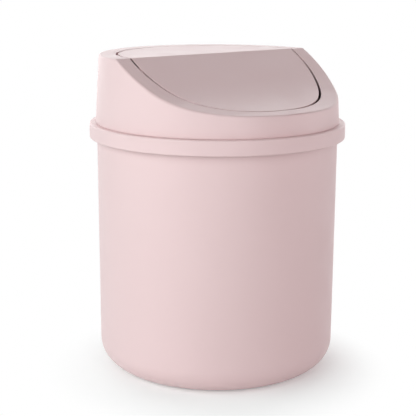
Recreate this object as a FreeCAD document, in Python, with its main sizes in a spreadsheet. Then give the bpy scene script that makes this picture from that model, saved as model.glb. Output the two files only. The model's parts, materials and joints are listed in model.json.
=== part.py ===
import FreeCAD, Part
import math
import os

import Sketcher

# A round desktop bin with a swing lid. The origin is the middle of the foot, +Z is up and the bin's
# front, where the lid slopes down, faces -Y. Lengths are millimetres and angles are degrees.

SIZES = {
    # Bucket: the rim's top is its height, the wall just under the rim its radius.
    "bucket_height": 181.0,
    "bucket_radius": 87.6,
    "bucket_taper": 0.6,
    "bucket_wall": 2.0,
    "base_wall": 2.4,
    "foot_round": 18.5,
    "foot_width": 8.0,
    "foot_recess": 1.6,
    "rim_reach": 5.4,
    "rim_drop": 10.8,
    "rim_wall": 2.0,
    "rim_bevel": 1.2,
    "skirt_bevel": 0.6,
    "mouth_bevel": 0.5,
    # Hood: it stands on the rim, a little proud of the bucket's wall.
    "hood_step": 0.9,
    "hood_height": 48.6,
    "hood_taper": 2.85,
    "hood_wall": 2.0,
    "hood_bevel": 1.2,
    "front_rise": 14.8,
    "slope_angle": 29.4,
    "slope_radius": 120.0,
    "crease_setback": 2.9,
    "crease_round": 1.5,
    "ring_width": 11.8,
    "opening_lead": 1.4,
    "plug_depth": 10.0,
    "plug_wall": 1.8,
    "plug_gap": 0.4,
    "plug_lead_in": 0.9,
    "ledge_reach": 2.4,
    "ledge_wall": 2.0,
    "ledge_arc": 130.0,
    # Flap
    "flap_gap": 1.0,
    "flap_wall": 2.0,
    "flap_bevel": 0.4,
    "rib_wall": 2.0,
    "rib_front": 18.0,
    "rib_rear": 20.0,
    # Pivot
    "pivot_lead": 6.0,
    "pin_radius": 1.75,
    "pin_running_gap": 0.06,
    "pin_press_gap": 0.02,
    "boss_wall": 2.45,
    "boss_cover": 0.5,
    "hood_boss_length": 5.0,
    "flap_boss_length": 9.0,
    "pin_head_radius": 2.5,
    "pin_head_gap": 0.2,
    "pin_head_length": 1.8,
    "pin_bevel": 0.5,
    "pin_end_inset": 0.5,
}

doc = FreeCAD.newDocument("swing_lid_bin")
sheet = doc.addObject("Spreadsheet::Sheet", "dims")
for row, (alias, size) in enumerate(SIZES.items(), start=1):
    sheet.set(f"A{row}", alias)
    sheet.set(f"B{row}", str(size))
    sheet.setAlias(f"B{row}", alias)
doc.recompute()

# Heights and radii that several pieces share.
RIM_RADIUS = "(dims.bucket_radius + dims.rim_reach)"
MOUTH_RADIUS = "(dims.bucket_radius - dims.bucket_wall)"
CROWN_HEIGHT = "(dims.bucket_height + dims.hood_height)"
LIP_HEIGHT = "(dims.bucket_height + dims.front_rise)"
HOOD_FOOT_RADIUS = "(dims.bucket_radius + dims.hood_step)"
HOOD_CROWN_RADIUS = f"({HOOD_FOOT_RADIUS} - dims.hood_taper)"
HOOD_LEAN = "(dims.hood_taper / dims.hood_height)"
OPENING_RADIUS = f"({HOOD_CROWN_RADIUS} - dims.ring_width)"
OPENING_Y = "(-dims.opening_lead)"
FLAP_RADIUS = f"({OPENING_RADIUS} - dims.flap_gap)"
SLOPE = "(dims.slope_angle * 1deg)"

# The pivot lies ahead of the crease, and so deep under the slope that the skin covers the bosses and
# the flap's underside clears the pins' heads.
BOSS_RADIUS = "(dims.pin_radius + dims.boss_wall)"
HEAD_DEPTH = "(dims.flap_wall + dims.pin_head_gap + dims.pin_head_radius)"
PIVOT_DEPTH = f"max({BOSS_RADIUS} + dims.boss_cover; {HEAD_DEPTH})"
PIVOT_Y = "(-dims.pivot_lead)"
PIVOT_Z = (
    f"({CROWN_HEIGHT} - (dims.crease_setback + dims.pivot_lead) * tan({SLOPE})"
    f" - {PIVOT_DEPTH} / cos({SLOPE}))"
)
HOOD_BOSS_FACE = f"({FLAP_RADIUS} + dims.flap_gap / 2)"
FLAP_BOSS_FACE = f"({FLAP_RADIUS} - dims.flap_gap / 2)"
RIB_FACE = f"({FLAP_BOSS_FACE} - dims.flap_boss_length)"

# Points closer than this are the same point.
NEAR = 1e-4


def value(expression):
    """The number that an expression on the sheet gives now."""
    return float(sheet.evalExpression(expression))


def new_body(label):
    """An empty body for one piece."""
    body = doc.addObject("PartDesign::Body", label)
    body.Label = label
    return body


def origin_plane(body, role):
    """One of the body's own origin planes."""
    return next(feature for feature in body.Origin.OriginFeatures if feature.Role == role)


def new_sketch(body, name, role, offset="0", shift="0"):
    """A sketch on an origin plane of the body, with an offset along its normal or a shift along its X."""
    sketch = body.newObject("Sketcher::SketchObject", name)
    sketch.AttachmentSupport = (origin_plane(body, role), [""])
    sketch.MapMode = "FlatFace"
    sketch.setExpression("AttachmentOffset.Base.x", shift)
    sketch.setExpression("AttachmentOffset.Base.z", offset)
    return sketch


def bind(sketch, constraint, expression):
    """Add a constraint whose size follows an expression."""
    index = sketch.addConstraint(constraint)
    sketch.setExpression(f"Constraints[{index}]", expression)


def hold(sketch, curve, end, across, up):
    """Fix one point of a curve at two expressions."""
    bind(sketch, Sketcher.Constraint("DistanceX", curve, end, value(across)), across)
    bind(sketch, Sketcher.Constraint("DistanceY", curve, end, value(up)), up)


def arc_between(start, finish, radius, turn):
    """The short arc from start to finish that bends left (turn 1) or right (turn -1)."""
    chord = finish - start
    rise = math.sqrt(radius ** 2 - (chord.Length / 2) ** 2)
    square = FreeCAD.Vector(-chord.y, chord.x, 0).normalize()
    circle = Part.Circle(start + chord * 0.5 + square * (rise * turn), FreeCAD.Vector(0, 0, 1), radius)
    first, last = (start, finish) if turn > 0 else (finish, start)
    return Part.ArcOfCircle(circle, circle.parameter(first), circle.parameter(last))


def draw_outline(sketch, corners):
    """Draw a closed outline through corners (across, up), each given as expressions.

    A corner that also holds a radius and a turn starts an arc, and any other corner a straight line.
    """
    spots = [FreeCAD.Vector(value(corner[0]), value(corner[1]), 0) for corner in corners]
    ends = []
    for corner, start, finish in zip(corners, spots, spots[1:] + spots[:1]):
        curve = Part.LineSegment(start, finish)
        ends.append((1, 2))
        if len(corner) == 4:
            curve = arc_between(start, finish, value(corner[2]), corner[3])
            ends[-1] = (1, 2) if corner[3] > 0 else (2, 1)
        sketch.addGeometry(curve, False)
    for index, corner in enumerate(corners):
        before = index - 1 if index else len(corners) - 1
        sketch.addConstraint(Sketcher.Constraint("Coincident", before, ends[before][1], index, ends[index][0]))
        hold(sketch, index, ends[index][0], corner[0], corner[1])
        if len(corner) == 4:
            bind(sketch, Sketcher.Constraint("Radius", index, value(corner[2])), corner[2])


def draw_circle(sketch, across, up, radius):
    """Draw a circle whose centre and radius follow expressions."""
    centre = FreeCAD.Vector(value(across), value(up), 0)
    index = sketch.addGeometry(Part.Circle(centre, FreeCAD.Vector(0, 0, 1), value(radius)), False)
    hold(sketch, index, 3, across, up)
    bind(sketch, Sketcher.Constraint("Radius", index, value(radius)), radius)


def revolve(body, name, sketch, axis="V_Axis", arc=None):
    """Turn a sketch about one of its axes: all the way, or through an arc, half to each side."""
    turned = body.newObject("PartDesign::Revolution", name)
    turned.Profile = sketch
    turned.ReferenceAxis = (sketch, [axis])
    turned.Angle = 360
    if arc:
        turned.Midplane = True
        turned.setExpression("Angle", arc)
    doc.recompute()


def pad(body, name, sketch, length, both_sides=False):
    """Raise a sketch along its normal, or half to each side of it."""
    raised = body.newObject("PartDesign::Pad", name)
    raised.Profile = sketch
    raised.Midplane = both_sides
    raised.setExpression("Length", length)
    doc.recompute()
    return raised


def pocket(body, name, sketch, depth=None):
    """Cut a sketch through the body both ways, or to a depth along its normal."""
    volume_before = body.Shape.Volume
    cut = body.newObject("PartDesign::Pocket", name)
    cut.Profile = sketch
    if depth:
        cut.Reversed = True
        cut.setExpression("Length", depth)
    else:
        cut.Type = "ThroughAll"
        cut.Midplane = True
    doc.recompute()
    if body.Shape.Volume >= volume_before:
        raise RuntimeError(f"{name} removes nothing")
    return cut


def mirror_across(body, name, features):
    """Repeat features on the other side of the bin's middle plane."""
    mirrored = body.newObject("PartDesign::Mirrored", name)
    mirrored.Originals = features
    mirrored.MirrorPlane = (origin_plane(body, "YZ_Plane"), [""])
    body.Tip = mirrored
    doc.recompute()


def dress_edges(body, name, kind, chosen):
    """A fillet or chamfer on the edges of the body's last feature that a test picks out."""
    base = body.Tip
    edges = [f"Edge{n}" for n, edge in enumerate(base.Shape.Edges, start=1) if chosen(edge)]
    if not edges:
        raise RuntimeError(f"{name} finds no edge")
    dressed = body.newObject(f"PartDesign::{kind}", name)
    dressed.Base = (base, edges)
    return dressed


def round_edges(body, name, radius, chosen):
    """Round the edges that a test picks out."""
    dress_edges(body, name, "Fillet", chosen).setExpression("Radius", radius)
    doc.recompute()


def bevel_edges(body, name, size, chosen):
    """Break the edges that a test picks out with a small bevel."""
    dress_edges(body, name, "Chamfer", chosen).setExpression("Size", size)
    doc.recompute()


def circle_at(radius, height):
    """A test for circles round the bin's axis, with a radius and at a height."""
    def chosen(edge):
        curve = edge.Curve
        return (
            isinstance(curve, Part.Circle)
            and abs(curve.Radius - value(radius)) < NEAR
            and abs(curve.Center.z - value(height)) < NEAR
        )
    return chosen


# Bucket: one tapered tub on a flat foot ring, whose rim turns out and then down in a skirt.
FOOT_RADIUS = "(dims.bucket_radius - dims.bucket_taper)"
FLAT_INNER_RADIUS = f"({FOOT_RADIUS} - dims.foot_round - dims.foot_width)"
FLOOR_HEIGHT = "(dims.foot_recess + dims.base_wall)"
BUCKET_LEAN = "(dims.bucket_taper / dims.bucket_height)"
FLOOR_RADIUS = f"({FOOT_RADIUS} - dims.bucket_wall + {BUCKET_LEAN} * {FLOOR_HEIGHT})"
FLANGE_HEIGHT = "(dims.bucket_height - dims.rim_wall)"
SKIRT_HEIGHT = "(dims.bucket_height - dims.rim_drop)"

bucket = new_body("bucket")
tub_profile = new_sketch(bucket, "tub_profile", "XZ_Plane")
draw_outline(tub_profile, (
    ("0", "dims.foot_recess"),
    (f"{FLAT_INNER_RADIUS} - dims.foot_recess", "dims.foot_recess"),
    (FLAT_INNER_RADIUS, "0"),
    (FOOT_RADIUS, "0"),
    (f"dims.bucket_radius - {BUCKET_LEAN} * dims.rim_wall", FLANGE_HEIGHT),
    (f"{RIM_RADIUS} - dims.rim_wall", FLANGE_HEIGHT),
    (f"{RIM_RADIUS} - dims.rim_wall", SKIRT_HEIGHT),
    (RIM_RADIUS, SKIRT_HEIGHT),
    (RIM_RADIUS, "dims.bucket_height"),
    (MOUTH_RADIUS, "dims.bucket_height"),
    (FLOOR_RADIUS, FLOOR_HEIGHT),
    ("0", FLOOR_HEIGHT),
))
revolve(bucket, "tub", tub_profile)
round_edges(bucket, "foot_edge", "dims.foot_round", circle_at(FOOT_RADIUS, "0"))
round_edges(bucket, "floor_edge", "dims.foot_round - dims.bucket_wall", circle_at(FLOOR_RADIUS, FLOOR_HEIGHT))
bevel_edges(bucket, "rim_edge", "dims.rim_bevel", circle_at(RIM_RADIUS, "dims.bucket_height"))
bevel_edges(bucket, "skirt_edge", "dims.skirt_bevel", circle_at(RIM_RADIUS, SKIRT_HEIGHT))
bevel_edges(bucket, "mouth_edge", "dims.mouth_bevel", circle_at(MOUTH_RADIUS, "dims.bucket_height"))


# The lid's skin, which hood and flap share: level behind the crease, then a straight slope that
# bends up in one arc to the level front lip.
SLOPE_TANGENT = f"(dims.slope_radius * tan({SLOPE} / 2))"
SLOPE_RUN = f"((dims.hood_height - dims.front_rise) / tan({SLOPE}))"
LIP_Y = f"(dims.crease_setback - {SLOPE_RUN} - {SLOPE_TANGENT})"
SKIN_FRONT_Y = f"({LIP_Y} - {HOOD_FOOT_RADIUS})"
CREASE_DIP = f"(dims.crease_round * (1 / cos({SLOPE} / 2) - 1))"


def skin_corners(depth):
    """Corners of the skin from crease to front, on a surface this deep under the outer one."""
    radius = f"(dims.slope_radius + {depth})"
    bend_y = f"{LIP_Y} + {radius} * sin({SLOPE})"
    bend_z = f"{LIP_HEIGHT} + dims.slope_radius - {radius} * cos({SLOPE})"
    return (
        (f"dims.crease_setback + {depth} * tan({SLOPE} / 2)", f"{CROWN_HEIGHT} - {depth}"),
        (bend_y, bend_z, radius, -1),
        (LIP_Y, f"{LIP_HEIGHT} - {depth}"),
        (SKIN_FRONT_Y, f"{LIP_HEIGHT} - {depth}"),
    )


def skin_height(y):
    """Height of the outer skin above a point of the bin's middle line."""
    rise = math.tan(math.radians(value("dims.slope_angle")))
    radius = value("dims.slope_radius")
    bend_y = value(skin_corners("0")[1][0])
    if y >= value("dims.crease_setback"):
        return value(CROWN_HEIGHT)
    if y >= bend_y:
        return value(CROWN_HEIGHT) - (value("dims.crease_setback") - y) * rise
    past_lip = max(y - value(LIP_Y), 0)
    return value(LIP_HEIGHT) + radius - math.sqrt(radius ** 2 - past_lip ** 2)


def crease_edge(edge):
    """Whether an edge is the straight crease across the skin."""
    middle = edge.CenterOfMass
    return (
        isinstance(edge.Curve, Part.Line)
        and abs(middle.y - value("dims.crease_setback")) < NEAR
        and abs(middle.z - value(CROWN_HEIGHT)) < NEAR
    )


def skin_edge(centre_y, radius_at):
    """A test for edges of the outer skin round a centre, at a radius which may change with height.

    A rounded crease dips a little under the sharp one, so the test leaves that much slack.
    """
    slack = value(CREASE_DIP) + NEAR

    def chosen(edge):
        middle = edge.valueAt((edge.FirstParameter + edge.LastParameter) / 2)
        return (
            abs(middle.z - skin_height(middle.y)) < slack
            and abs(math.hypot(middle.x, middle.y - value(centre_y)) - radius_at(middle.z)) < slack
        )
    return chosen


# Hood: a round block, tapered and sloped, hollowed from below and opened for the flap.
def sloped_block(label, depth):
    """The hood's outer form, or the form that lies a depth inside it."""
    body = new_body(label)
    profile = new_sketch(body, f"{label}_profile", "XZ_Plane")
    draw_outline(profile, (
        ("0", "dims.bucket_height"),
        (f"{HOOD_FOOT_RADIUS} - {depth}", "dims.bucket_height"),
        (f"{HOOD_CROWN_RADIUS} - {depth} + {depth} * {HOOD_LEAN}", f"{CROWN_HEIGHT} - {depth}"),
        ("0", f"{CROWN_HEIGHT} - {depth}"),
    ))
    revolve(body, f"{label}_block", profile)
    slope = new_sketch(body, f"{label}_slope_profile", "YZ_Plane")
    corners = skin_corners(depth)
    above = f"{CROWN_HEIGHT} + dims.hood_height"
    draw_outline(slope, corners + ((corners[-1][0], above), (corners[0][0], above)))
    pocket(body, f"{label}_slope", slope)
    return body


def hood_radius(height):
    """Radius of the hood's outer wall at a height."""
    return value(HOOD_FOOT_RADIUS) - value(HOOD_LEAN) * (height - value("dims.bucket_height"))


hood = sloped_block("hood", "0")
hood_core = sloped_block("hood_core", "dims.hood_wall")
hood_hollow = hood.newObject("PartDesign::Boolean", "hood_hollow")
hood_hollow.setObjects([hood_core])
hood_hollow.Type = "Cut"
doc.recompute()
opening_profile = new_sketch(hood, "opening_profile", "XY_Plane")
draw_circle(opening_profile, "0", OPENING_Y, OPENING_RADIUS)
pocket(hood, "hood_opening", opening_profile)
round_edges(hood, "hood_crease", "dims.crease_round", crease_edge)
bevel_edges(hood, "hood_edge", "dims.hood_bevel", skin_edge("0", hood_radius))

# The plug skirt under the hood's wall drops into the bucket's mouth, with a lead-in at its foot.
PLUG_RADIUS = f"({MOUTH_RADIUS} - dims.plug_gap)"
PLUG_FOOT = "(dims.bucket_height - dims.plug_depth)"
SHELF_TOP = "(dims.bucket_height + dims.hood_wall)"
SHELF_RADIUS = f"({HOOD_FOOT_RADIUS} - dims.hood_wall / 2)"
plug_profile = new_sketch(hood, "plug_profile", "XZ_Plane")
draw_outline(plug_profile, (
    (f"{PLUG_RADIUS} - dims.plug_wall", PLUG_FOOT),
    (f"{PLUG_RADIUS} - dims.plug_lead_in", PLUG_FOOT),
    (PLUG_RADIUS, f"{PLUG_FOOT} + dims.plug_lead_in"),
    (PLUG_RADIUS, "dims.bucket_height"),
    (SHELF_RADIUS, "dims.bucket_height"),
    (SHELF_RADIUS, SHELF_TOP),
    (f"{PLUG_RADIUS} - dims.plug_wall", SHELF_TOP),
))
revolve(hood, "plug_skirt", plug_profile)

# The rear ledge hangs from the ring round the opening and reaches in under the closed flap.
LEDGE_RADIUS = f"({FLAP_RADIUS} - dims.ledge_reach)"
LEDGE_TOP = f"({CROWN_HEIGHT} - dims.flap_wall)"
LEDGE_ROOT = f"({CROWN_HEIGHT} - dims.hood_wall / 2)"
HANGER_INNER_RADIUS = f"({OPENING_RADIUS} + dims.ledge_wall / 2)"
HANGER_OUTER_RADIUS = f"({HANGER_INNER_RADIUS} + dims.ledge_wall)"
ledge_profile = new_sketch(hood, "ledge_profile", "YZ_Plane", shift=OPENING_Y)
draw_outline(ledge_profile, (
    (LEDGE_RADIUS, f"{LEDGE_TOP} - dims.ledge_wall"),
    (HANGER_OUTER_RADIUS, f"{LEDGE_TOP} - dims.ledge_wall"),
    (HANGER_OUTER_RADIUS, LEDGE_ROOT),
    (HANGER_INNER_RADIUS, LEDGE_ROOT),
    (HANGER_INNER_RADIUS, LEDGE_TOP),
    (LEDGE_RADIUS, LEDGE_TOP),
))
revolve(hood, "rear_ledge", ledge_profile, arc="dims.ledge_arc")

# A bored boss hangs from the ring on each side, for the pivot pins to turn in.
hood_boss_profile = new_sketch(hood, "hood_boss_profile", "YZ_Plane", HOOD_BOSS_FACE)
draw_circle(hood_boss_profile, PIVOT_Y, PIVOT_Z, BOSS_RADIUS)
draw_circle(hood_boss_profile, PIVOT_Y, PIVOT_Z, "dims.pin_radius + dims.pin_running_gap")
hood_boss = pad(hood, "hood_boss", hood_boss_profile, "dims.hood_boss_length")
mirror_across(hood, "hood_boss_pair", [hood_boss])


# Flap: a piece of the skin, trimmed round, level behind the crease and sloped ahead of it.
flap = new_body("flap")
slab_profile = new_sketch(flap, "slab_profile", "YZ_Plane")
crease, bend, lip, front = skin_corners("dims.flap_wall")
draw_outline(slab_profile, (
    (HOOD_FOOT_RADIUS, CROWN_HEIGHT),
    *skin_corners("0"),
    front,
    (*lip, bend[2], 1),
    bend[:2],
    crease,
    (HOOD_FOOT_RADIUS, f"{CROWN_HEIGHT} - dims.flap_wall"),
))
pad(flap, "slab", slab_profile, f"2 * {HOOD_FOOT_RADIUS}", both_sides=True)
trim_profile = new_sketch(flap, "trim_profile", "XY_Plane")
draw_circle(trim_profile, "0", OPENING_Y, FLAP_RADIUS)
draw_circle(trim_profile, "0", "0", f"4 * {HOOD_FOOT_RADIUS}")
pocket(flap, "flap_outline", trim_profile)
bevel_edges(flap, "flap_edge", "dims.flap_bevel", skin_edge(OPENING_Y, lambda height: value(FLAP_RADIUS)))
round_edges(flap, "flap_crease", "dims.crease_round", crease_edge)

# On each side a rib stiffens the crease and carries a bored boss, in which a pivot pin is pressed.
HALF_WALL = "(dims.flap_wall / 2)"
RIB_FRONT_Y = f"({PIVOT_Y} - dims.rib_front)"
RIB_FRONT_DROP = f"((dims.crease_setback - {RIB_FRONT_Y}) * tan({SLOPE}) + {HALF_WALL} / cos({SLOPE}))"
rib_profile = new_sketch(flap, "rib_profile", "YZ_Plane", RIB_FACE)
draw_outline(rib_profile, (
    (f"{PIVOT_Y} + dims.rib_rear", f"{CROWN_HEIGHT} - {HALF_WALL}"),
    (f"dims.crease_setback + {HALF_WALL} * tan({SLOPE} / 2)", f"{CROWN_HEIGHT} - {HALF_WALL}"),
    (RIB_FRONT_Y, f"{CROWN_HEIGHT} - {RIB_FRONT_DROP}"),
    (PIVOT_Y, f"{PIVOT_Z} - {BOSS_RADIUS}"),
))
rib = pad(flap, "rib", rib_profile, "dims.rib_wall")
flap_boss_profile = new_sketch(flap, "flap_boss_profile", "YZ_Plane", RIB_FACE)
draw_circle(flap_boss_profile, PIVOT_Y, PIVOT_Z, BOSS_RADIUS)
flap_boss = pad(flap, "flap_boss", flap_boss_profile, "dims.flap_boss_length")
flap_bore_profile = new_sketch(flap, "flap_bore_profile", "YZ_Plane", RIB_FACE)
draw_circle(flap_bore_profile, PIVOT_Y, PIVOT_Z, "dims.pin_radius + dims.pin_press_gap")
flap_bore = pocket(flap, "flap_bore", flap_bore_profile, "dims.flap_boss_length")
mirror_across(flap, "flap_pivot_pair", [rib, flap_boss, flap_bore])


# Pivot pins: headed pins, pushed outwards through the flap's bosses into the hood's.
PIN_LENGTH = f"({HOOD_BOSS_FACE} + dims.hood_boss_length - dims.pin_end_inset - {RIB_FACE})"


def new_pin(label, side, heading):
    """A pin whose head seats on the rib at one side; heading turns its tip outwards."""
    body = new_body(label)
    profile = new_sketch(body, f"{label}_profile", "XZ_Plane")
    draw_outline(profile, (
        ("-dims.pin_head_length", "0"),
        ("-dims.pin_head_length", "dims.pin_head_radius - dims.pin_bevel"),
        ("dims.pin_bevel - dims.pin_head_length", "dims.pin_head_radius"),
        ("0", "dims.pin_head_radius"),
        ("0", "dims.pin_radius"),
        (f"{PIN_LENGTH} - dims.pin_bevel", "dims.pin_radius"),
        (PIN_LENGTH, "dims.pin_radius - dims.pin_bevel"),
        (PIN_LENGTH, "0"),
    ))
    revolve(body, f"{label}_turned", profile, axis="H_Axis")
    body.Placement.Rotation = FreeCAD.Rotation(FreeCAD.Vector(0, 0, 1), heading)
    body.setExpression("Placement.Base.x", f"{side} * {RIB_FACE}")
    body.setExpression("Placement.Base.y", PIVOT_Y)
    body.setExpression("Placement.Base.z", PIVOT_Z)
    return body


pivot_pin_left = new_pin("pivot_pin_left", -1, 180)
pivot_pin_right = new_pin("pivot_pin_right", 1, 0)

doc.recompute()
for item in doc.Objects:
    if "Invalid" in item.State or "Error" in item.State:
        raise RuntimeError(f"{item.Label} is not built: {item.State}")
pieces = (bucket, hood, flap, pivot_pin_left, pivot_pin_right)
for piece in pieces:
    if piece.Shape.isNull() or not piece.Shape.isValid() or len(piece.Shape.Solids) != 1:
        raise RuntimeError(f"{piece.Label} is not one sound solid")
os.makedirs("parts", exist_ok=True)
for piece in pieces:
    piece.Shape.exportStep(f"parts/{piece.Label}.step")
    print(f"{piece.Label}: {piece.Shape.Volume / 1000:.2f} cm3")
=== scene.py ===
import json
import math

import bmesh
import bpy
from mathutils import Matrix, Vector

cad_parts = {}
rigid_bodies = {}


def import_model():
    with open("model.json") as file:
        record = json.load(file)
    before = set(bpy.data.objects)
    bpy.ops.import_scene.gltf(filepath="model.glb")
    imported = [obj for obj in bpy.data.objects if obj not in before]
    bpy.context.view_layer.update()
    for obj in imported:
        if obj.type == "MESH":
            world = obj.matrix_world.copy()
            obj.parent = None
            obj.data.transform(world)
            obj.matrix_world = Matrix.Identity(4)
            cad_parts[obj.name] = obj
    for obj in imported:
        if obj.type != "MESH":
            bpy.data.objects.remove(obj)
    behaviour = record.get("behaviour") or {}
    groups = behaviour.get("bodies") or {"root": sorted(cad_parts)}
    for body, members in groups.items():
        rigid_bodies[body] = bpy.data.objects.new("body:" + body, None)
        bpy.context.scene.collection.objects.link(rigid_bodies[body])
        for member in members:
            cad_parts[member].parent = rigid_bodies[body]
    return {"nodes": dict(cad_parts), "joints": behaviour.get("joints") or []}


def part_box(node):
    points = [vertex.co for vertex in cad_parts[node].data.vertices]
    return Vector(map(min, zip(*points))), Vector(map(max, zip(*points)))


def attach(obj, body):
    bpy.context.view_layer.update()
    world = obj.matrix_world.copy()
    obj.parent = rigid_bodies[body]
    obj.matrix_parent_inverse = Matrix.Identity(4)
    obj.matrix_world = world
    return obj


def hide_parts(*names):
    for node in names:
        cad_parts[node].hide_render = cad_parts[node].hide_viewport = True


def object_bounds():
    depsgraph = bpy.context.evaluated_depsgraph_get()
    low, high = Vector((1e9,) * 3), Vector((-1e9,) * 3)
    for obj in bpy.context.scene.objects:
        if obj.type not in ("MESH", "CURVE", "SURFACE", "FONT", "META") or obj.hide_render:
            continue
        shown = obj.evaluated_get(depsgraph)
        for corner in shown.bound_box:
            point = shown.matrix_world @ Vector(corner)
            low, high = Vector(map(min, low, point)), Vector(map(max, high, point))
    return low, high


bpy.ops.object.select_all(action="SELECT")
bpy.ops.object.delete()

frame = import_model()
cad_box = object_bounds()

# Bucket
# The lower tub of the bin: one injection moulding in pale dusty-pink polypropylene, with a rounded foot
# and a rim that turns out and down. It stands loose on the desk and carries the hood in its mouth.
bucket_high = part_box("bucket")[1]
rim_radius = bucket_high.x
rim_top = bucket_high.z
rim_reach = 0.0054
rim_drop = 0.0108
rim_wall = 0.0020
bucket_wall = 0.0020
bucket_taper = 0.0006
foot_round = 0.0185
foot_width = 0.0080
foot_recess = 0.0016
base_wall = 0.0024
rim_round = 0.0014
skirt_round = 0.0008
mouth_round = 0.0006
foot_ring_round = 0.0006
steps_round = 192
same_spot = 0.00001
hard_corner = math.radians(35.0)


def open_for_editing(piece):
    """Make a piece the active one and open it in edit mode with nothing selected."""
    bpy.ops.object.select_all(action="DESELECT")
    piece.select_set(True)
    bpy.context.view_layer.objects.active = piece
    bpy.ops.object.mode_set(mode="EDIT")
    bpy.ops.mesh.select_mode(type="EDGE")
    bpy.ops.mesh.select_all(action="DESELECT")


def draw_chain(name, points):
    """A new piece, still a chain of edges: one vertex, extruded from point to point."""
    bpy.ops.object.select_all(action="DESELECT")
    bpy.ops.mesh.primitive_plane_add(size=rim_wall)
    piece = bpy.context.object
    piece.name = name
    bpy.ops.object.mode_set(mode="EDIT")
    bpy.ops.mesh.select_mode(type="VERT")
    bpy.ops.mesh.merge(type="CENTER")
    bpy.ops.transform.translate(value=points[0])
    for start, finish in zip(points, points[1:]):
        bpy.ops.mesh.extrude_vertices_move(TRANSFORM_OT_translate={"value": finish - start})
    bpy.ops.object.mode_set(mode="OBJECT")
    return piece


def close_solid():
    """Merge the seams of the mesh that is being edited and turn its faces outwards."""
    bpy.ops.mesh.select_all(action="SELECT")
    bpy.ops.mesh.remove_doubles(threshold=same_spot / 10)
    bpy.ops.mesh.fill_holes(sides=0)
    bpy.ops.mesh.select_all(action="SELECT")
    bpy.ops.mesh.normals_make_consistent(inside=False)
    bpy.ops.object.mode_set(mode="OBJECT")


def turn_solid(name, points, centre=(0.0, 0.0, 0.0), axis=(0.0, 0.0, 1.0), turn=math.tau,
               steps=steps_round):
    """A solid made by turning a chain of points round an axis."""
    piece = draw_chain(name, points)
    open_for_editing(piece)
    bpy.ops.mesh.select_all(action="SELECT")
    bpy.ops.mesh.spin(steps=steps, angle=turn, center=centre, axis=axis)
    close_solid()
    return piece


def section(*spots):
    """Points (radius, height) of a section that is turned round the bin's own axis."""
    return [Vector((radius, 0.0, height)) for radius, height in spots]


def soften(piece, chosen, width, segments):
    """Round off the edges of a piece whose two ends both pass a test."""
    open_for_editing(piece)
    form = bmesh.from_edit_mesh(piece.data)
    for edge in form.edges:
        edge.select = all(chosen(corner.co) for corner in edge.verts)
    bmesh.update_edit_mesh(piece.data)
    bpy.ops.mesh.bevel(offset=width, segments=segments, profile=0.5, affect="EDGES")
    bpy.ops.object.mode_set(mode="OBJECT")


def ring_at(radius, height):
    """A test for points of one ring round the bin's axis."""
    return lambda spot: math.dist((math.hypot(spot.x, spot.y), spot.z), (radius, height)) < same_spot


def finish_surface(piece):
    """Smooth shading that breaks at hard corners and keeps the flat faces flat."""
    bpy.ops.object.select_all(action="DESELECT")
    piece.select_set(True)
    bpy.context.view_layer.objects.active = piece
    bpy.ops.object.shade_smooth_by_angle(angle=hard_corner)
    even = piece.modifiers.new("even_shading", "WEIGHTED_NORMAL")
    even.keep_sharp = True
    bpy.ops.object.modifier_apply(modifier=even.name)


bucket_radius = rim_radius - rim_reach
bucket_lean = bucket_taper / rim_top
foot_radius = bucket_radius - bucket_taper
mouth_radius = bucket_radius - bucket_wall
skirt_inner = rim_radius - rim_wall
skirt_foot = rim_top - rim_drop
flange_under = rim_top - rim_wall
flat_inner = foot_radius - foot_round - foot_width
floor_top = foot_recess + base_wall
floor_radius = foot_radius - bucket_wall + bucket_lean * floor_top
bucket = turn_solid("bucket_moulding", section(
    (0.0, foot_recess),
    (flat_inner - foot_recess, foot_recess),
    (flat_inner, 0.0),
    (foot_radius, 0.0),
    (bucket_radius - bucket_lean * rim_wall, flange_under),
    (skirt_inner, flange_under),
    (skirt_inner, skirt_foot),
    (rim_radius, skirt_foot),
    (rim_radius, rim_top),
    (mouth_radius, rim_top),
    (floor_radius, floor_top),
    (0.0, floor_top),
))
soften(bucket, ring_at(foot_radius, 0.0), foot_round, segments=14)
soften(bucket, ring_at(floor_radius, floor_top), foot_round - bucket_wall, segments=12)
soften(bucket, ring_at(rim_radius, rim_top), rim_round, segments=5)
soften(bucket, ring_at(rim_radius, skirt_foot), skirt_round, segments=4)
soften(bucket, ring_at(mouth_radius, rim_top), mouth_round, segments=3)
soften(bucket, ring_at(flat_inner, 0.0), foot_ring_round, segments=3)
finish_surface(bucket)
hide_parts("bucket")
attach(bucket, "bucket")

plastic_ior = 1.49
grain_depth = 0.00002


def satin_moulding_group():
    """The skin of a moulded part: how the colour flows, how the gloss varies and its fine spark grain."""
    group = bpy.data.node_groups.new("satin_moulding", "ShaderNodeTree")
    for label, start in (("Flow Scale", 14.0), ("Gloss Scale", 55.0), ("Grain Scale", 2400.0)):
        socket = group.interface.new_socket(label, in_out="INPUT", socket_type="NodeSocketFloat")
        socket.default_value = start
    for label in ("Flow", "Gloss", "Grain"):
        group.interface.new_socket(label, in_out="OUTPUT", socket_type="NodeSocketFloat")
    group_in = group.nodes.new("NodeGroupInput")
    group_out = group.nodes.new("NodeGroupOutput")
    place = group.nodes.new("ShaderNodeTexCoord")
    for label, detail, roughness in (("Flow", 3.0, 0.45), ("Gloss", 4.0, 0.6), ("Grain", 2.0, 0.5)):
        noise = group.nodes.new("ShaderNodeTexNoise")
        noise.inputs["Detail"].default_value = detail
        noise.inputs["Roughness"].default_value = roughness
        group.links.new(place.outputs["Object"], noise.inputs["Vector"])
        group.links.new(group_in.outputs[f"{label} Scale"], noise.inputs["Scale"])
        group.links.new(noise.outputs["Fac"], group_out.inputs[label])
    return group


satin_moulding = satin_moulding_group()


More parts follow.
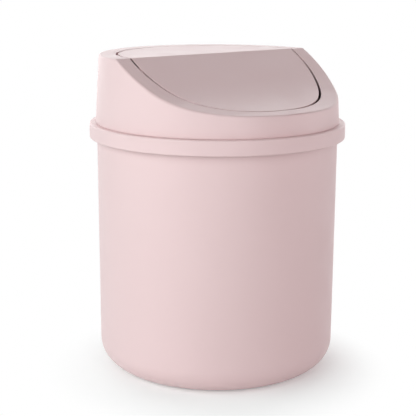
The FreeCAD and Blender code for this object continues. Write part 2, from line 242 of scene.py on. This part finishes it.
def moulded_plastic(name, pale, deep, gloss_from, gloss_to, grain_strength):
    """A satin moulded plastic between two close colours."""
    material = bpy.data.materials.new(name)
    material.use_nodes = True
    nodes = material.node_tree.nodes
    links = material.node_tree.links
    shader = nodes["Principled BSDF"]
    shader.inputs["IOR"].default_value = plastic_ior

    skin = nodes.new("ShaderNodeGroup")
    skin.node_tree = satin_moulding

    tint = nodes.new("ShaderNodeMix")
    tint.data_type = "RGBA"
    tint.inputs["A"].default_value = (*pale, 1.0)
    tint.inputs["B"].default_value = (*deep, 1.0)
    links.new(skin.outputs["Flow"], tint.inputs["Factor"])
    links.new(tint.outputs["Result"], shader.inputs["Base Color"])

    gloss = nodes.new("ShaderNodeMapRange")
    gloss.inputs["From Min"].default_value = 0.3
    gloss.inputs["From Max"].default_value = 0.7
    gloss.inputs["To Min"].default_value = gloss_from
    gloss.inputs["To Max"].default_value = gloss_to
    links.new(skin.outputs["Gloss"], gloss.inputs["Value"])
    links.new(gloss.outputs["Result"], shader.inputs["Roughness"])

    bump = nodes.new("ShaderNodeBump")
    bump.inputs["Strength"].default_value = grain_strength
    bump.inputs["Distance"].default_value = grain_depth
    links.new(skin.outputs["Grain"], bump.inputs["Height"])
    links.new(bump.outputs["Normal"], shader.inputs["Normal"])
    return material


pink_plastic = moulded_plastic(
    "pink_polypropylene",
    pale=(0.724, 0.514, 0.522),
    deep=(0.704, 0.494, 0.502),
    gloss_from=0.40,
    gloss_to=0.49,
    grain_strength=0.25,
)
bucket.data.materials.append(pink_plastic)

# Hood
# The upper shell, moulded in the same plastic: a tapered wall, a flat crown behind, and a slope that runs
# down in a hollow curve to a low front, opened round for the flap. A skirt under it plugs into the bucket's
# mouth.
hood_low, hood_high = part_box("hood")
flap_low, flap_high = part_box("flap")
hood_foot_radius = hood_high.x
hood_top = hood_high.z
hood_taper = 0.00285
hood_wall = 0.0020
front_rise = 0.0148
slope = math.radians(29.4)
slope_radius = 0.120
bend_steps = 28
crease_y = 0.0029
crease_width = 0.0012
flap_wall = 0.0020
flap_gap = 0.0010
opening_relief = 0.0003
edge_round = 0.0002
brow_round = 0.0016
hood_foot_round = 0.0003
plug_gap = 0.0004
plug_wall = 0.0018
plug_lead_in = 0.0009
near_skin = 4 * same_spot

hood_lean = hood_taper / (hood_top - rim_top)
crown_radius = hood_foot_radius - hood_taper
front_lip = rim_top + front_rise
slope_run = (hood_top - front_lip) / math.tan(slope)
lip_y = crease_y - slope_run - slope_radius * math.tan(slope / 2)
flap_radius = (flap_high.x - flap_low.x) / 2
opening_radius = flap_radius + flap_gap
opening_edge = opening_radius + opening_relief
opening_y = (flap_low.y + flap_high.y) / 2
opening_axis = Vector((0.0, opening_y, 0.0))
clear_of_all = 2 * hood_foot_radius


def slope_line(depth):
    """Points (y, z) of the slope from the crease to the front, or of the line this deep under it."""
    radius = slope_radius + depth
    line = [(crease_y + depth * math.tan(slope / 2), hood_top - depth)]
    for step in range(bend_steps + 1):
        lean = slope * (1 - step / bend_steps)
        line.append((lip_y + radius * math.sin(lean), front_lip + slope_radius - radius * math.cos(lean)))
    line.append((-clear_of_all, front_lip - depth))
    return line


def raise_solid(name, outline, left, right):
    """A solid between two upright planes, from its outline of (y, z) points seen from the side."""
    corners = [Vector((left, y, z)) for y, z in outline]
    piece = draw_chain(name, corners)
    open_for_editing(piece)
    bpy.ops.mesh.select_all(action="SELECT")
    bpy.ops.mesh.edge_face_add()
    bpy.ops.mesh.extrude_region_move(TRANSFORM_OT_translate={"value": (right - left, 0.0, 0.0)})
    close_solid()
    return piece


def combine(piece, tool, operation):
    """Cut a tool out of a piece, add it or keep what they share, and throw the tool away."""
    bpy.ops.object.select_all(action="DESELECT")
    piece.select_set(True)
    bpy.context.view_layer.objects.active = piece
    step = piece.modifiers.new("step", "BOOLEAN")
    step.operation = operation
    step.solver = "EXACT"
    step.object = tool
    bpy.ops.object.modifier_apply(modifier=step.name)
    bpy.data.objects.remove(tool)


def sloped_solid(name, points, depth):
    """A turned solid, cut off along the slope or along the line this deep under it."""
    piece = turn_solid(name, points)
    line = slope_line(depth)
    above = hood_top + clear_of_all
    outline = line + [(-clear_of_all, above), (line[0][0], above)]
    combine(piece, raise_solid("slope_tool", outline, -clear_of_all, clear_of_all), "DIFFERENCE")
    return piece


def round_tool(name, radius):
    """An upright cylinder on the opening's axis, from the rim to above the hood."""
    top = hood_top + hood_wall
    points = section((0.0, rim_top), (radius, rim_top), (radius, top), (0.0, top))
    return turn_solid(name, [opening_axis + point for point in points], opening_axis)


plug_foot = hood_low.z
plug_radius = mouth_radius - plug_gap
plug_inner = plug_radius - plug_wall
shelf_top = rim_top + hood_wall
hood = sloped_solid("hood_moulding", section(
    (0.0, plug_foot),
    (plug_radius - plug_lead_in, plug_foot),
    (plug_radius, plug_foot + plug_lead_in),
    (plug_radius, rim_top),
    (hood_foot_radius, rim_top),
    (crown_radius, hood_top),
    (0.0, hood_top),
), 0.0)
hood_core = sloped_solid("hood_core", section(
    (0.0, plug_foot - hood_wall),
    (plug_inner, plug_foot - hood_wall),
    (plug_inner, shelf_top),
    (hood_foot_radius - hood_wall - hood_lean * hood_wall, shelf_top),
    (crown_radius - hood_wall + hood_lean * hood_wall, hood_top - hood_wall),
    (0.0, hood_top - hood_wall),
), hood_wall)
combine(hood, hood_core, "DIFFERENCE")
combine(hood, round_tool("opening_tool", opening_edge), "DIFFERENCE")


def on_skin(spot):
    """Whether a point is on the lid's outer skin: the crown, the slope, its bend or the lip."""
    if spot.y >= crease_y:
        height = hood_top
    elif spot.y >= lip_y + slope_radius * math.sin(slope):
        height = hood_top - (crease_y - spot.y) * math.tan(slope)
    else:
        past_lip = max(spot.y - lip_y, 0.0)
        height = front_lip + slope_radius - math.sqrt(slope_radius ** 2 - past_lip ** 2)
    return abs(spot.z - height) < near_skin


def on_brow(spot):
    """Whether a point is on the edge between the hood's wall and its skin."""
    wall = hood_foot_radius - hood_lean * (spot.z - rim_top)
    return on_skin(spot) and abs(math.hypot(spot.x, spot.y) - wall) < near_skin


def on_round(radius):
    """A test for points of the skin at a radius round the opening's axis."""
    def chosen(spot):
        past_round = math.hypot(spot.x, spot.y - opening_y) - radius
        return on_skin(spot) and abs(past_round) < near_skin
    return chosen


def on_crease(spot):
    """Whether a point is on the crease across the lid."""
    return abs(spot.y - crease_y) < same_spot and abs(spot.z - hood_top) < same_spot


soften(hood, on_brow, brow_round, segments=5)
soften(hood, on_round(opening_edge), edge_round, segments=3)
soften(hood, ring_at(hood_foot_radius, rim_top), hood_foot_round, segments=2)
soften(hood, on_crease, crease_width, segments=5)

# Under the ring, a ledge stops the closed flap at the rear and two bored bosses hold the pivot pins.
ledge_reach = 0.0024
ledge_wall = 0.0020
ledge_arc = math.radians(130.0)
boss_radius = 0.0042
hood_bore = 0.00181
hood_boss_length = 0.0050
boss_steps = 48

ledge_inner = flap_radius - ledge_reach
ledge_top = hood_top - flap_wall
ledge_under = ledge_top - ledge_wall
hanger_inner = opening_radius + ledge_wall / 2
hanger_outer = hanger_inner + ledge_wall
ledge_root = hood_top - hood_wall / 2
ledge_start = Matrix.Rotation((math.pi + ledge_arc) / 2, 4, "Z")
ledge_points = section(
    (ledge_inner, ledge_under),
    (hanger_outer, ledge_under),
    (hanger_outer, ledge_root),
    (hanger_inner, ledge_root),
    (hanger_inner, ledge_top),
    (ledge_inner, ledge_top),
    (ledge_inner, ledge_under),
)
ledge_chain = [opening_axis + ledge_start @ point for point in ledge_points]
combine(hood, turn_solid("ledge", ledge_chain, opening_axis, turn=ledge_arc), "UNION")

pivot = Vector(next(joint["pos_m"] for joint in frame["joints"] if joint["name"] == "flap_swing"))


def bored_boss(name, inner, outer, bore):
    """A tube on the pivot's axis between two distances from the bin's middle."""
    rings = ((inner, bore), (outer, bore), (outer, boss_radius), (inner, boss_radius), (inner, bore))
    points = [pivot + Vector((across, 0.0, radius)) for across, radius in rings]
    return turn_solid(name, points, pivot, (1.0, 0.0, 0.0), steps=boss_steps)


for side in (-1, 1):
    inner = side * (flap_radius + flap_gap / 2)
    combine(hood, bored_boss("hood_boss", inner, inner + side * hood_boss_length, hood_bore), "UNION")
finish_surface(hood)
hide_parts("hood")
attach(hood, "hood")
hood.data.materials.append(pink_plastic)

# Flap
# The swinging lid in the hood's opening: a thin round moulding of the same plastic, bent along its middle
# and thinned from below at its edge, with two ribs and two bosses underneath that hold the pivot pins.
flap_relief = 0.0005
flap_edge_wall = 0.0008
flap_edge_reach = 0.0012
rib_wall = 0.0020
rib_front = 0.0180
rib_rear = 0.0200
flap_bore = 0.00177
flap_boss_length = 0.0090


def bent_disc(name, top, bottom, radius):
    """A round plate that follows the crown and the slope between two depths under the skin."""
    rear = [(clear_of_all, hood_top - bottom), (clear_of_all, hood_top - top)]
    outline = rear + slope_line(top) + slope_line(bottom)[::-1]
    disc = raise_solid(name, outline, -clear_of_all, clear_of_all)
    combine(disc, round_tool("trim_tool", radius), "INTERSECT")
    return disc


flap_edge = flap_radius - flap_relief
flap = bent_disc("flap_moulding", 0.0, flap_edge_wall, flap_edge)
soften(flap, on_round(flap_edge), edge_round, segments=3)
soften(flap, on_crease, crease_width, segments=5)
combine(flap, bent_disc("flap_back", flap_edge_wall / 2, flap_wall, flap_edge - flap_edge_reach), "UNION")

half_wall = flap_wall / 2
rib_front_y = pivot.y - rib_front
rib_front_drop = (crease_y - rib_front_y) * math.tan(slope) + half_wall / math.cos(slope)
rib_outline = (
    (pivot.y + rib_rear, hood_top - half_wall),
    (crease_y + half_wall * math.tan(slope / 2), hood_top - half_wall),
    (rib_front_y, hood_top - rib_front_drop),
    (pivot.y, pivot.z - boss_radius),
)
for side in (-1, 1):
    boss_face = side * (flap_radius - flap_gap / 2)
    rib_face = boss_face - side * flap_boss_length
    combine(flap, raise_solid("rib", rib_outline, rib_face, rib_face + side * rib_wall), "UNION")
    combine(flap, bored_boss("flap_boss", rib_face, boss_face, flap_bore), "UNION")
finish_surface(flap)
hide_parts("flap")
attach(flap, "flap")
flap.data.materials.append(pink_plastic)

# Pivot pins
# Two headed pins in natural white plastic, which carry the flap. Each is pushed outwards through a boss of
# the flap, where it is pressed in, into a boss of the hood, where it turns. They keep their CAD forms.
pin_plastic = moulded_plastic(
    "natural_acetal",
    pale=(0.80, 0.77, 0.71),
    deep=(0.76, 0.73, 0.67),
    gloss_from=0.28,
    gloss_to=0.36,
    grain_strength=0.15,
)
for pin_name in ("pivot_pin_left", "pivot_pin_right"):
    frame["nodes"][pin_name].data.materials[0] = pin_plastic

# Floor
# A plain matt white studio sweep, on which the bin stands loose. It takes the bin's soft shadow close by,
# with a little light of its own, and runs out into white.
floor_size = 40.0
floor_white = (0.90, 0.90, 0.90, 1.0)
floor_roughness = 0.9
shade_reach = 0.065
white_from = 0.130
shade_lift = 0.18
shade_lead = Vector((-0.012, -0.016, 0.0))
bpy.ops.object.select_all(action="DESELECT")
bpy.ops.mesh.primitive_plane_add(size=floor_size)
floor = bpy.context.object
floor.name = "floor"


def seen_by_camera(tree):
    """A socket that is 1 on rays that the camera sees, straight, mirrored or through glass, and else 0."""
    sight = tree.nodes.new("ShaderNodeLightPath")
    seen = sight.outputs["Is Camera Ray"]
    for ray in ("Is Glossy Ray", "Is Transmission Ray"):
        either = tree.nodes.new("ShaderNodeMath")
        either.operation = "MAXIMUM"
        tree.links.new(seen, either.inputs[0])
        tree.links.new(sight.outputs[ray], either.inputs[1])
        seen = either.outputs["Value"]
    return seen


sweep = bpy.data.materials.new("white_sweep")
sweep.use_nodes = True
sweep_nodes = sweep.node_tree.nodes
sweep_links = sweep.node_tree.links
sweep_shader = sweep_nodes["Principled BSDF"]
sweep_shader.inputs["Base Color"].default_value = floor_white
sweep_shader.inputs["Roughness"].default_value = floor_roughness
sweep_shader.inputs["Specular IOR Level"].default_value = 0.0
sweep_seen = seen_by_camera(sweep.node_tree)

lift = sweep_nodes.new("ShaderNodeMath")
lift.operation = "MULTIPLY"
lift.inputs[1].default_value = shade_lift
sweep_links.new(sweep_seen, lift.inputs[0])
sweep_links.new(lift.outputs["Value"], sweep_shader.inputs["Emission Strength"])

place = sweep_nodes.new("ShaderNodeTexCoord")
reach = sweep_nodes.new("ShaderNodeVectorMath")
reach.operation = "DISTANCE"
reach.inputs[1].default_value = shade_lead
sweep_links.new(place.outputs["Object"], reach.inputs[0])
run_out = sweep_nodes.new("ShaderNodeMapRange")
run_out.interpolation_type = "SMOOTHSTEP"
run_out.inputs["From Min"].default_value = shade_reach
run_out.inputs["From Max"].default_value = white_from
sweep_links.new(reach.outputs["Value"], run_out.inputs["Value"])
to_white = sweep_nodes.new("ShaderNodeMath")
to_white.operation = "MULTIPLY"
sweep_links.new(run_out.outputs["Result"], to_white.inputs[0])
sweep_links.new(sweep_seen, to_white.inputs[1])

white = sweep_nodes.new("ShaderNodeEmission")
blend = sweep_nodes.new("ShaderNodeMixShader")
sweep_links.new(to_white.outputs["Value"], blend.inputs["Fac"])
sweep_links.new(sweep_shader.outputs["BSDF"], blend.inputs[1])
sweep_links.new(white.outputs["Emission"], blend.inputs[2])
sweep_links.new(blend.outputs["Shader"], sweep_nodes["Material Output"].inputs["Surface"])
floor.data.materials.append(sweep)

# Lights
# A soft studio: a large box on the left, which the gloss doesn't show, a weaker one behind, small ones in
# front and on the right, two weak banks overhead, and white walls that show past the floor and in the gloss.
left_tint = (0.86, 1.0, 0.985)
wall_white = (1.0, 1.0, 1.0, 1.0)


def softbox(name, azimuth, elevation, distance, width, height, power):
    """A soft area lamp on a sphere round the bin, facing its middle."""
    middle = (Vector(cad_box[0]) + Vector(cad_box[1])) / 2
    turn = math.radians(azimuth)
    rise = math.radians(elevation)
    heading = Vector((math.sin(turn) * math.cos(rise), -math.cos(turn) * math.cos(rise), math.sin(rise)))
    bpy.ops.object.select_all(action="DESELECT")
    bpy.ops.object.light_add(type="AREA", location=middle + heading * distance)
    lamp = bpy.context.object
    lamp.name = name
    lamp.rotation_euler = heading.to_track_quat("Z", "Y").to_euler()
    lamp.data.shape = "RECTANGLE"
    lamp.data.size = width
    lamp.data.size_y = height
    lamp.data.energy = power
    return lamp


left_box = softbox("left_box", azimuth=-93, elevation=18, distance=1.6, width=2.4, height=1.6, power=35.0)
left_box.data.color = left_tint
left_box.visible_glossy = False
softbox("front_box", azimuth=-24, elevation=10, distance=1.5, width=0.9, height=0.9, power=6.3)
softbox("front_bank", azimuth=-15, elevation=45, distance=1.5, width=1.0, height=0.9, power=2.0)
softbox("right_box", azimuth=60, elevation=10, distance=1.5, width=1.2, height=0.9, power=7.6)
softbox("rear_box", azimuth=145, elevation=20, distance=1.5, width=2.6, height=1.3, power=14.5)
softbox("rear_bank", azimuth=180, elevation=48, distance=1.5, width=0.9, height=0.9, power=2.0)

world = bpy.data.worlds.new("studio_walls")
bpy.context.scene.world = world
world.use_nodes = True
walls = world.node_tree.nodes["Background"]
walls.inputs["Color"].default_value = wall_white
world.node_tree.links.new(seen_by_camera(world.node_tree), walls.inputs["Strength"])

# Camera
# A long lens a little above the rim, off the bin's left front, so that the slope runs down to the right.
# It looks slightly down and is turned by a hair about its own line of sight.
camera_place = Vector((-0.49550, -0.64370, 0.29895))
camera_heading = math.radians(-37.13)
camera_drop = math.radians(12.75)
camera_roll = 0.0047
camera_lens = 96.85
sensor_width = 36.0
bpy.ops.object.camera_add(location=camera_place)
camera = bpy.context.object
camera.name = "photo_camera"
heading = Matrix.Rotation(camera_heading, 4, "Z")
tilt = Matrix.Rotation(math.pi / 2 - camera_drop, 4, "X")
roll = Matrix.Rotation(camera_roll, 4, "Z")
camera.rotation_euler = (heading @ tilt @ roll).to_euler()
camera.data.sensor_width = sensor_width
camera.data.lens = camera_lens
bpy.context.scene.camera = camera
bpy.context.scene.view_settings.view_transform = "Standard"
